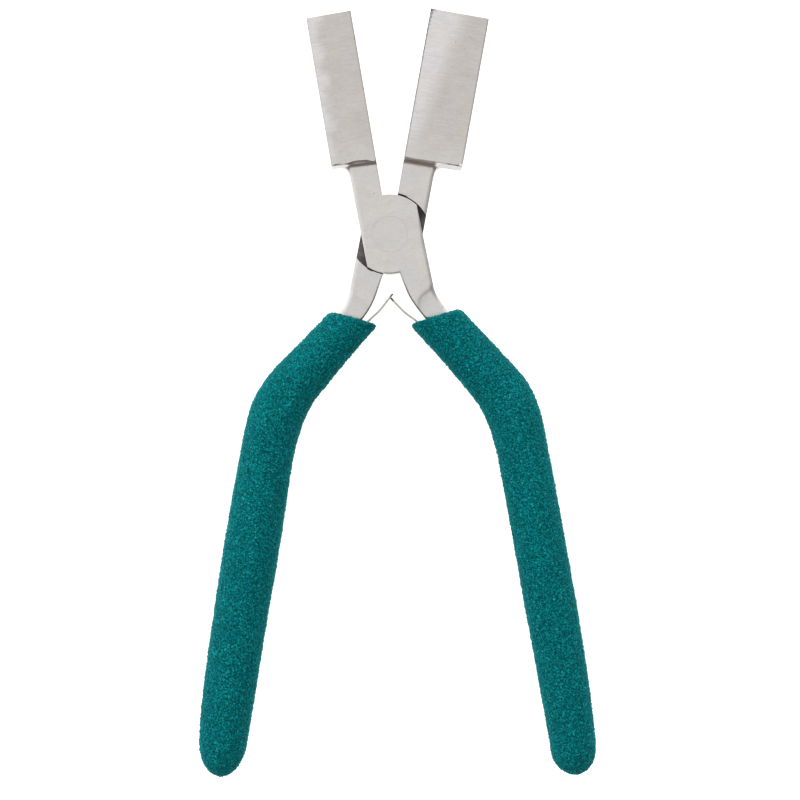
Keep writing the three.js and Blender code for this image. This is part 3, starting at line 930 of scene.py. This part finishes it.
def steel_half(name, half):
    """One forged half: jaw block, neck, lap and tang, with its recess for the other lap."""
    outline, radii, stains_shade_and_highlight, crossings = steel_outline(half)
    rows = insets(outline, radii) + foot_rows(half)
    extra = np.vstack([elbow_grid(half), spot_points(half), gap_shade_rows(half)])
    extra = clear_of_edges(outline, extra, HEAD_HOLE)
    shell = Shell(flip=not half["upper"])
    out_ring = whole_face(shell, half, (outline, radii), rows, extra)
    other_face_and_sides(shell, half, (outline, radii), rows, extra, crossings, out_ring)
    steel = brushed_steel(name, (0.78, 0.77, 0.755), (0.725, 0.715, 0.7), 0.3, half)
    finishes = [steel, RECESS_STEEL_AND_SHADE, SHADED_SIDE_STEEL, GAP_SHADE_STEEL]
    piece = finished(
        name, half, shell, finishes, half["body"], "jaw_steel", half["steel"], STEEL_SHARP
    )
    mark_steel(piece, half, outline, stains_shade_and_highlight, np.array(shell.corners))
    piece.modifiers.new("even normals", "WEIGHTED_NORMAL").keep_sharp = True
    return piece


def whole_face(shell, half, edge, rows, extra):
    """The half's face away from its recess; returns its corners on the outline and on the hole."""
    up = 1 if half["upper"] else -1
    xy, faces, went = triangles(edge[0], [circle(HEAD_HOLE)], rows, extra)
    height = up * rounded_height(half, *edge, xy)
    for face in faces:
        shell.face([shell.corner(("out", k), (*xy[k], height[k])) for k in face], WHOLE_FACE)
    return [shell.known[("out", went[k])] for k in range(len(edge[0]) + HOLE_SIDES)]


def other_face_and_sides(shell, half, edge, rows, extra, crossings, out_ring):
    """The face with the recess, the recess's wall, the sides all round and the rivet's hole."""
    up = 1 if half["upper"] else -1
    arcs = recess_arcs(edge[0], crossings)
    xy, faces, went = triangles(edge[0], [circle(SHANK_HOLE)], [*rows, *arcs], extra)
    height = -up * rounded_height(half, *edge, xy)

    def lap(k):
        return shell.corner(("lap", k), (*xy[k], up * LAP_FACE))

    def back(k):
        return shell.corner(("back", k), (*xy[k], height[k]))

    lap_edges, back_edges = set(), set()
    for face, reach in zip(faces, np.linalg.norm(xy[faces].mean(axis=1), axis=1)):
        in_recess = reach < RECESS_RADIUS
        low, edges = (lap, lap_edges) if in_recess else (back, back_edges)
        shell.face([low(k) for k in face[::-1]], RECESSED if in_recess else WHOLE_FACE)
        edges.update(zip(face, np.roll(face, -1)))
    for a, b in lap_edges:
        if (b, a) in back_edges:
            shell.face([lap(a), lap(b), back(b), back(a)], WALL)
    count = len(edge[0])
    crossing_places = {went[k] for k in crossings}
    for k in range(count):
        a, b = went[k], went[(k + 1) % count]
        on_lap = (a, b) in lap_edges or (b, a) in lap_edges
        low = lap if on_lap else back
        first = [lap(a)] if not on_lap and a in crossing_places else []
        last = [lap(b)] if not on_lap and b in crossing_places else []
        shell.face([out_ring[k], *first, low(a), low(b), *last, out_ring[(k + 1) % count]], SIDE)
    for k in range(HOLE_SIDES):
        here, after = count + k, count + (k + 1) % HOLE_SIDES
        shell.face([out_ring[here], out_ring[after], lap(went[after]), lap(went[here])])


def mark_steel(piece, half, outline, stains_shade_and_highlight, corners):
    """Writes how dark each corner is painted, by stains and painted shade, and its painted highlight,
    for the steel's material.
    """
    distance, edge_stain_shade_highlight = nearest(outline, stains_shade_and_highlight, corners[:, :2])
    stain_and_shade = np.clip(edge_stain_shade_highlight * (1 - smoothstep(0.05, STAIN_AND_SHADE_REACH, distance)), 0, 1)
    on_face = np.abs(corners[:, 2]) > 1
    stain_and_shade = np.maximum(stain_and_shade, np.where(on_face, spots_and_shade(half, corners[:, :2]), 0))
    painted_highlight = np.maximum(-edge_stain_shade_highlight, 0) * (1 - smoothstep(*half["highlight_band"], distance))
    for label, values in (("stain_and_shade", stain_and_shade), ("painted_highlight", painted_highlight)):
        made = piece.data.attributes.new(label, "FLOAT", "POINT")
        made.data.foreach_set("value", values.astype(np.float32))


def turned(shell, profile, sides, place):
    """A surface of revolution from its (radius, height) profile; place() sets each point."""
    rings = []
    for row, (radius, height) in enumerate(profile):
        ring = []
        for k, (x, y) in enumerate(circle(radius, sides)):
            ring.append(shell.corner((row, k if radius > 0 else 0), place(x, y, height)))
        rings.append(ring)
    shell.join(rings)


def rivet():
    """The rivet, ground flush, with the faint dished ring of its peened head."""
    head = [(0, 0.045), (1.4, 0.04), (2.3, 0.022), (2.8, 0), (3.1, -0.05), (3.5, -0.075), (3.8, -0.03)]
    rim = [(RIVET_HEAD_RADIUS, THICK - 0.02), (RIVET_SHANK_RADIUS, THICK - RIVET_HEAD_DEPTH)]
    upper = [*((r, THICK + z) for r, z in head), *rim]
    shell = Shell()
    turned(shell, [*((r, -z) for r, z in upper), *upper[::-1]], HOLE_SIDES, lambda x, y, z: (x, y, z))
    name, slot = "pivot_rivet_finish", "rivet_steel"
    piece = finished(name, LARGE, shell, [RIVET_STEEL], LARGE["body"], slot, "pivot_rivet")
    piece.modifiers.new("even normals", "WEIGHTED_NORMAL").keep_sharp = True
    return piece


# ---- Leaf springs ----
def leaf_path(half):
    """The leaf's line, with its corners rounded, as measured() gives it."""
    path = handle_path(half, half["tang_start"])
    off = TANG_WIDTH / 2 + LEAF_SEAT_GAP + LEAF_THICKNESS / 2
    seat = beside(path, np.array([LEAF_ROOT, SCREW_AT, LEAF_LIFT]), np.full(3, off))
    corners = [*seat, *(np.array(half[k], float) for k in ("leaf_exit", "leaf_knee", "leaf_tip"))]
    soft = {2: 1.6, 3: 1.2, 4: 1.1}  # how far from a corner its rounding begins
    points = []
    for k, corner in enumerate(corners):
        if k in soft:
            before = towards(corner, corners[k - 1], soft[k])
            after = towards(corner, corners[k + 1], soft[k])
            points += [*line(points[-1], before, 0.3)[1:], *curve(before, corner, after, 8), after]
        elif points:
            points += [*line(points[-1], corner, 0.3)[1:], corner]
        else:
            points.append(corner)
    return measured(points)


def leaf_outline(half, length):
    """The flat blank of the leaf: distance along it, and height from its middle."""
    wide = LEAF_WIDTH / 2
    corners = [(0.5, wide), (0, wide - 0.5), (0, 0.5 - wide), (0.5, -wide)]
    if half["tongue"]:
        narrow, start = TONGUE_WIDTH / 2, length - TONGUE_LENGTH
        corners += [
            (start, -wide), (start + 0.3, -narrow), (length - 0.3, -narrow), (length, 0.3 - narrow),
            (length, narrow - 0.3), (length - 0.3, narrow), (start + 0.3, narrow), (start, wide),
        ]
    else:
        gap, start = FORK_SLOT / 2, length - FORK_LENGTH
        corners += [
            (length - 0.2, -wide), (length, 0.2 - wide), (length, -gap), (start, -gap),
            (start, gap), (length, gap), (length, wide - 0.2), (length - 0.2, wide),
        ]
    outline = []
    for k, corner in enumerate(corners):
        outline += line(corner, corners[(k + 1) % len(corners)], 0.35)
    return np.array(outline)


def leaf_spring(name, half):
    """A strip bent at its seat, at the foam's mouth and at the knee; its hooked end is painted darker
    as shade.
    """
    path = leaf_path(half)
    length = path[2][-1]
    outline = leaf_outline(half, length)
    drill = circle(SCREW_SHANK_RADIUS + 0.12, 24) + (LEAF_ROOT - SCREW_AT, 0)
    x, y = np.meshgrid(np.arange(0.3, length, 0.35), np.arange(-1.75, 2, 0.5))
    grid = np.column_stack([x.ravel(), y.ravel()])
    gap = np.minimum(distance_to(outline, grid), distance_to(drill, grid))
    grid = grid[inside(outline, grid) & (gap > 0.12)]
    inset = insets(outline, np.full(len(outline), LEAF_EDGE))[-1]
    xy, faces, went = triangles(outline, [drill], [inset], grid)
    thick = LEAF_THICKNESS / 2 - np.maximum(LEAF_EDGE - distance_to(outline, xy), 0)
    sides = {k: np.column_stack([beside(path, xy[:, 0], k * thick), xy[:, 1]]) for k in (1, -1)}
    shell = Shell()
    dark_from = length - LEAF_SHADED_END

    def corner(side, k):
        return shell.corner((side, k), sides[side][k])

    for face in faces:
        number = 1 if xy[face, 0].mean() > dark_from else 0
        shell.face([corner(1, k) for k in face], number)
        shell.face([corner(-1, k) for k in face[::-1]], number)
    for first, count in ((0, len(outline)), (len(outline), len(drill))):
        for k in range(count):
            a, b = went[first + k], went[first + (k + 1) % count]
            number = 1 if xy[[a, b], 0].mean() > dark_from else 0
            if first:
                shell.face([corner(1, a), corner(1, b), corner(-1, b), corner(-1, a)], number)
            else:
                shell.face([corner(1, a), corner(-1, a), corner(-1, b), corner(1, b)], number)
    finishes = [SPRING_STEEL, SHADED_SPRING_TIP]
    piece = finished(name, half, shell, finishes, None, "spring_steel", half["leaf"])
    marks = np.array([[*half["leaf_exit"], 0], [*half["leaf_knee"], 0]])
    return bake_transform(piece)


def spring_screw(name, half):
    """A cheese-head screw that holds the leaf's root to the tang."""
    path = handle_path(half, half["tang_start"])
    face = TANG_WIDTH / 2
    seat = 2 * LEAF_SEAT_GAP + LEAF_THICKNESS
    top = seat + SCREW_HEAD_HEIGHT

    def place(x, y, z):
        flat = beside(path, SCREW_AT + x, face + z)
        return (*flat, y)

    profile = [
        (0, -SCREW_DEPTH), (SCREW_SHANK_RADIUS - 0.25, -SCREW_DEPTH),
        (SCREW_SHANK_RADIUS, 0.25 - SCREW_DEPTH), (SCREW_SHANK_RADIUS, seat),
        (SCREW_HEAD_RADIUS - 0.08, seat), (SCREW_HEAD_RADIUS, seat + 0.08),
        (SCREW_HEAD_RADIUS, top - 0.18), (SCREW_HEAD_RADIUS - 0.18, top), (0, top),
    ]
    shell = Shell()
    turned(shell, profile, SCREW_SIDES, place)
    body, slot = half["body"], "spring_steel"
    return finished(name, half, shell, [SPRING_STEEL], body, slot, half["screw"])


# ---- Foam grips ----
def foam_shape(half, along):
    """Radius and sideways shift of the foam at a distance from its mouth."""
    places, radii, shifts = zip(*half["foam"])
    fine = np.linspace(0, PROFILE_END, PROFILE_SAMPLES)
    window = np.hanning(PROFILE_SMOOTHING)
    out = []
    for values in (radii, shifts):
        padded = np.pad(np.interp(fine, places, values), PROFILE_SMOOTHING // 2, mode="edge")
        smooth = np.convolve(padded, window / window.sum(), mode="valid")
        out.append(float(np.interp(along, fine, smooth)))
    return out


def cap_share(half, along, length):
    """How much of the radius is left in the foam's round end."""
    into = np.clip((along - (length - GRIP_CAP)) / GRIP_CAP, 0, 1)
    return math.sqrt(max(1 - into ** half["cap_power"], 0))


def grip_surface(half):
    """Rows of points: out of the bore, over the mouth's lip and along the grip to its round end."""
    path = handle_path(half, half["mouth"])
    tang = handle_path(half, half["tang_start"])
    length, stop = path[2][-1], tang[2][-1] - TANG_STOP
    cos, sin = circle(1, GRIP_SIDES).T
    tilt = math.radians(half["mouth_tilt"])
    across = np.array([math.sin(tilt), math.cos(tilt)])
    mouth = np.array(half["mouth"], float)

    def on_mouth(line_of, lateral):
        """Distance along a handle line at which a point beside it lies in the mouth's plane."""
        start, tangent = line_of[0][0], line_of[1][0]
        side = np.array([-tangent[1], tangent[0]])
        return ((mouth - start) @ across - lateral * (side @ across)) / (tangent @ across)

    def outer_row(along, radius):
        lateral = radius * cos + foam_shape(half, along)[1]
        fade = 1 - smoothstep(0, MOUTH_FADE, along)
        place = beside(path, along + (on_mouth(path, lateral) - MOUTH_LEAD) * fade, lateral)
        return np.column_stack([place, radius * sin])

    def bore_row(depth):
        share = np.clip(depth / stop, 0, 1)
        wide = tang_width(share) / 2 + HUG
        high = TANG_THIN + (TANG_END_THIN - TANG_THIN) * share + HUG
        pocket = POCKET * smoothstep(0.8, 3, depth) * (1 - smoothstep(13.5, 15, depth))
        sideways = np.where(cos > 0, wide + pocket, wide)
        radius = (np.abs(cos / sideways) ** 5 + np.abs(sin / high) ** 5) ** -0.2
        lateral = radius * cos
        fade = 1 - smoothstep(0, MOUTH_FADE, depth)
        place = beside(tang, depth + on_mouth(tang, lateral) * fade, lateral)
        return np.column_stack([place, radius * sin])

    def tip(line_of, along, shift):
        """A row whose points all lie at one place of the line, where the surface closes."""
        return np.tile(np.append(beside(line_of, along, shift), 0), (GRIP_SIDES, 1))

    rows = [tip(tang, stop + 0.5, 0)]
    for depth in [stop + 0.5, *np.arange(stop - 1, 16, -3.0), *np.arange(15.5, 0.4, -0.9), 0]:
        rows.append(bore_row(depth))
    bore_edge = rows[-1]
    mouth_radius, _ = foam_shape(half, 0)
    lip_inner = outer_row(0, mouth_radius - LIP)
    skin_from = len(rows) - 1
    for k in range(1, MOUTH_ROWS):
        rows.append(bore_edge + (lip_inner - bore_edge) * k / MOUTH_ROWS)
    for turn in np.linspace(math.pi / 2, 0, LIP_ROWS + 1):
        along, out = LIP * (1 - math.sin(turn)), LIP * (math.cos(turn) - 1)
        rows.append(outer_row(along, mouth_radius + out))
    straight = np.arange(LIP + GRIP_STEP, length - GRIP_CAP, GRIP_STEP)
    cap_turns = np.linspace(0, math.pi / 2, CAP_ROWS + 1)[:-1]
    cap = length - GRIP_CAP + GRIP_CAP * np.sin(cap_turns)
    for along in [*straight, *cap]:
        rows.append(outer_row(along, foam_shape(half, along)[0] * cap_share(half, along, length)))
    rows.append(tip(path, length, foam_shape(half, length)[1]))
    return np.array(rows), skin_from


def foam_grain(points):
    """Per point: how high it is on its grain, 0 to 1, and a slow swell."""
    noise.seed_set(GRAIN_SEED)
    grain, swell = np.empty(len(points)), np.empty(len(points))
    for k, (x, y, z) in enumerate(points):
        place = Vector((x, y, z)) / CELL
        warp = noise.noise_vector(place * 0.8) * 0.35
        near, centres = noise.voronoi(place + warp)
        height = 0.3 + 0.7 * abs(noise.cell(centres[0] * 7.3))
        grain[k] = max(0, 1 - GRAIN_SPREAD * near[0]) * height
        swell[k] = noise.noise(Vector((x, y, z)) * 0.35) + 0.5 * noise.noise(Vector((x, y, z)) * 1.1)
    return grain, swell


def foam_grip(name, half):
    """The foam sleeve: a closed body with real cells in its skin."""
    rows, skin_from = grip_surface(half)
    along = np.gradient(rows, axis=0)
    around = (np.roll(rows, -1, axis=1) - np.roll(rows, 1, axis=1)) / 2
    normals = unit(np.cross(around, along))
    normals[-1] = np.append(handle_path(half, half["mouth"])[1][-1], 0)
    grain = np.zeros(rows.shape[:2])
    skin = rows[skin_from:]
    seen, swell = foam_grain(skin.reshape(-1, 3))
    grain[skin_from:] = seen.reshape(skin.shape[:2])
    swell = swell.reshape(skin.shape[:2])
    depth = GRAIN_HEIGHT * (grain[skin_from:] - 0.45) + 0.06 * swell
    rows[skin_from:] += normals[skin_from:] * depth[..., None]
    rows[-1] = rows[-1].mean(axis=0)
    grain[-1] = grain[-1].mean()

    shell = Shell()
    keys = []
    for r in range(len(rows)):
        single = r in (0, len(rows) - 1)
        keys.append([shell.corner((r, 0 if single else k), rows[r, k]) for k in range(GRIP_SIDES)])
    shell.join(keys[::-1])
    piece = finished(name, half, shell, [FOAM], half["body"], "grip_foam", half["grip"], NEVER_SHARP)
    values = np.concatenate([grain[0, :1], grain[1:-1].ravel(), grain[-1, :1]])
    spread = piece.data.attributes.new("grain", "FLOAT", "POINT")
    spread.data.foreach_set("value", values.astype(np.float32))
    return piece


# ---- The pliers ----
steel_half("large_jaw_half_finish", LARGE)
steel_half("small_jaw_half_finish", SMALL)
rivet()
leaf_spring("tongue_leaf_finish", LARGE)
leaf_spring("fork_leaf_finish", SMALL)
spring_screw("left_screw_finish", LARGE)
spring_screw("right_screw_finish", SMALL)
foam_grip("left_grip_foam", LARGE)
foam_grip("right_grip_foam", SMALL)


# ---- Stage ----
CAMERA_HEIGHT = 700
VIEW_WIDTH = 178.4  # of the middle plane that the camera sees
VIEW_CENTRE = (2.3, -36.85)  # from the pivot
SENSOR = 36
FLOOR_REACH = 3  # metres
FLOOR_DROP = 0.2
FLOOR_GLOW = 0.9  # keeps the floor pale where the pliers shade it


def studio():
    """The floor, just below the pliers."""
    floor = bpy.data.meshes.new("floor")
    corners = [(-1, -1), (1, -1), (1, 1), (-1, 1)]
    floor.from_pydata([(x * FLOOR_REACH, y * FLOOR_REACH, 0) for x, y in corners], [], [(0, 1, 2, 3)])
    floor.materials.append(floor_material())
    ground = bpy.data.objects.new("floor", floor)
    ground.location.z = -FLOOR_DROP * MM
    bpy.context.scene.collection.objects.link(ground)


def softbox(name, place, size, power):
    """A large soft light aimed at the pliers' middle."""
    light = bpy.data.lights.new(name, "AREA")
    light.shape = "RECTANGLE"
    light.size, light.size_y = size
    light.energy = power
    lamp = bpy.data.objects.new(name, light)
    lamp.location = place
    lamp.rotation_euler = (-Vector(place)).to_track_quat("-Z", "Y").to_euler()
    lamp.visible_camera = False
    lamp.visible_glossy = False  # the steel mirrors the room, not the lamps
    bpy.context.scene.collection.objects.link(lamp)


def world():
    """A pale room: bright on the left and past the jaws, grey on the right, dark by the handles."""
    made = bpy.data.worlds.new("room")
    bpy.context.scene.world = made
    made.use_nodes = True
    tree = made.node_tree
    background = tree.nodes["Background"]
    place = node(tree, "ShaderNodeTexCoord").outputs["Generated"]
    x, y, z = node(tree, "ShaderNodeSeparateXYZ", Vector=place).outputs
    walls = [(0, grey(1.12)), (0.5, grey(0.75)), (1, grey(0.3))]
    sideways = ramp(tree, from_to(tree, x, -0.8, 0.8), walls)
    sideways = mixed(tree, sideways, grey(1.15), from_to(tree, y, 0.25, 0.55))
    behind = ramp(tree, from_to(tree, y, -0.9, -0.1), [(0, (0.19, 0.135, 0.1)), (1, grey(1.0))])
    overhead = from_to(tree, z, 0.4, 0.95)
    room = mixed(tree, times(tree, sideways, behind), (0.86, 0.856, 0.852), overhead)
    seen = node(tree, "ShaderNodeLightPath").outputs["Is Camera Ray"]
    feed(tree, background, Color=mixed(tree, room, (1, 1, 1), seen))


def camera():
    data = bpy.data.cameras.new("camera")
    data.sensor_width = SENSOR
    data.lens = SENSOR * CAMERA_HEIGHT / VIEW_WIDTH
    data.clip_start = 0.01
    made = bpy.data.objects.new("camera", data)
    made.location = PIVOT + np.array([*VIEW_CENTRE, CAMERA_HEIGHT]) * MM
    bpy.context.scene.collection.objects.link(made)
    bpy.context.scene.camera = made


studio()
world()
softbox("left_softbox", (-0.95, 0.15, 0.6), (0.8, 1.0), 12)
softbox("right_softbox", (0.95, 0.2, 0.8), (0.7, 0.9), 8)
softbox("far_softbox", (0.0, 1.0, 0.6), (1.0, 0.6), 7)
camera()
view = bpy.context.scene.view_settings
view.view_transform = "Standard"
